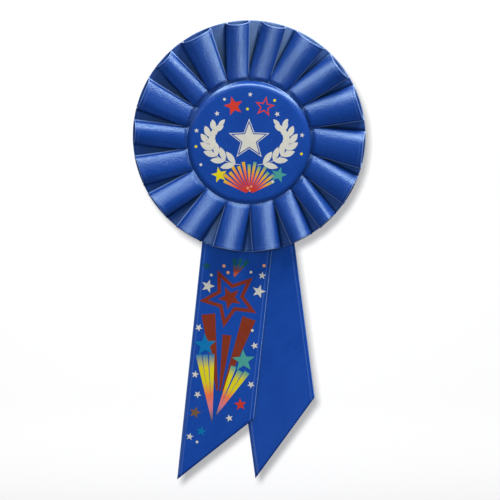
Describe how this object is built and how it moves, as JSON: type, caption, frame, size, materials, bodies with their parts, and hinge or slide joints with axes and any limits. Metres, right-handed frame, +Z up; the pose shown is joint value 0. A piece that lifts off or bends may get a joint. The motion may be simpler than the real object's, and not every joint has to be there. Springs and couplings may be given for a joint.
{
  "type": "award ribbon",
  "caption": "Pleated satin rosette with a covered round button, two slant-cut ribbon tails and a locking bar pin on the back.",
  "frame": {"origin": "centre of the backing card's rear face, the face that lies towards the wearer", "axes": "+Z up as worn; the decorated front faces -Y; +X is the right-hand side seen from the front"},
  "size_m": [0.082, 0.0163, 0.1651],
  "materials": {
    "blue_satin": "royal blue polyester satin ribbon with woven edges",
    "foil_print": "hot-stamped foil in silver, copper red, yellow, orange, teal and blue",
    "paperboard": "white uncoated paperboard",
    "sewing_thread": "twisted polyester thread",
    "staple_wire": "galvanised steel wire",
    "pressed_steel": "tinned pressed sheet",
    "foam_tape": "closed-cell foam mounting tape",
    "nickel_plate": "nickel-plated steel with fine wear"
  },
  "bodies": {
    "root": {"backing_card": "paperboard", "ring_card": "paperboard", "pleated_ribbon": "blue_satin", "pleat_thread": "sewing_thread", "ring_staples": "staple_wire", "tail_staples": "staple_wire", "rear_tail_top": "blue_satin", "front_tail_top": "blue_satin", "button_cover": "blue_satin", "button_shell": "pressed_steel", "button_back_plate": "pressed_steel", "button_prongs": "pressed_steel", "pin_tape": "foam_tape", "pin_base": "nickel_plate", "hinge_rivet": "nickel_plate", "catch_housing": "nickel_plate"},
    "pin_needle": {"pin_needle": "nickel_plate"},
    "catch_lock": {"catch_lock": "nickel_plate"},
    "front_tail": {"front_tail": "blue_satin"},
    "rear_tail": {"rear_tail": "blue_satin"}
  },
  "joints": [
    {"name": "needle_swing", "type": "hinge", "parent": "root", "child": "pin_needle", "pos_m": [-0.013, 0.0042, 0.014], "axis": [0, 0, 1], "range_deg": [0, 75]},
    {"name": "catch_lock_turn", "type": "hinge", "parent": "root", "child": "catch_lock", "pos_m": [0.0124, 0.0042, 0.014], "axis": [1, 0, 0], "range_deg": [0, 100]},
    {"name": "front_tail_swing", "type": "hinge", "parent": "root", "child": "front_tail", "pos_m": [-0.00467, -0.00145, -0.04276], "axis": [-0.9943, 0, 0.1063], "range_deg": [0, 75]},
    {"name": "rear_tail_swing", "type": "hinge", "parent": "root", "child": "rear_tail", "pos_m": [0.00411, -0.00115, -0.04263], "axis": [0.9914, 0, 0.1305], "range_deg": [0, 75]}
  ]
}
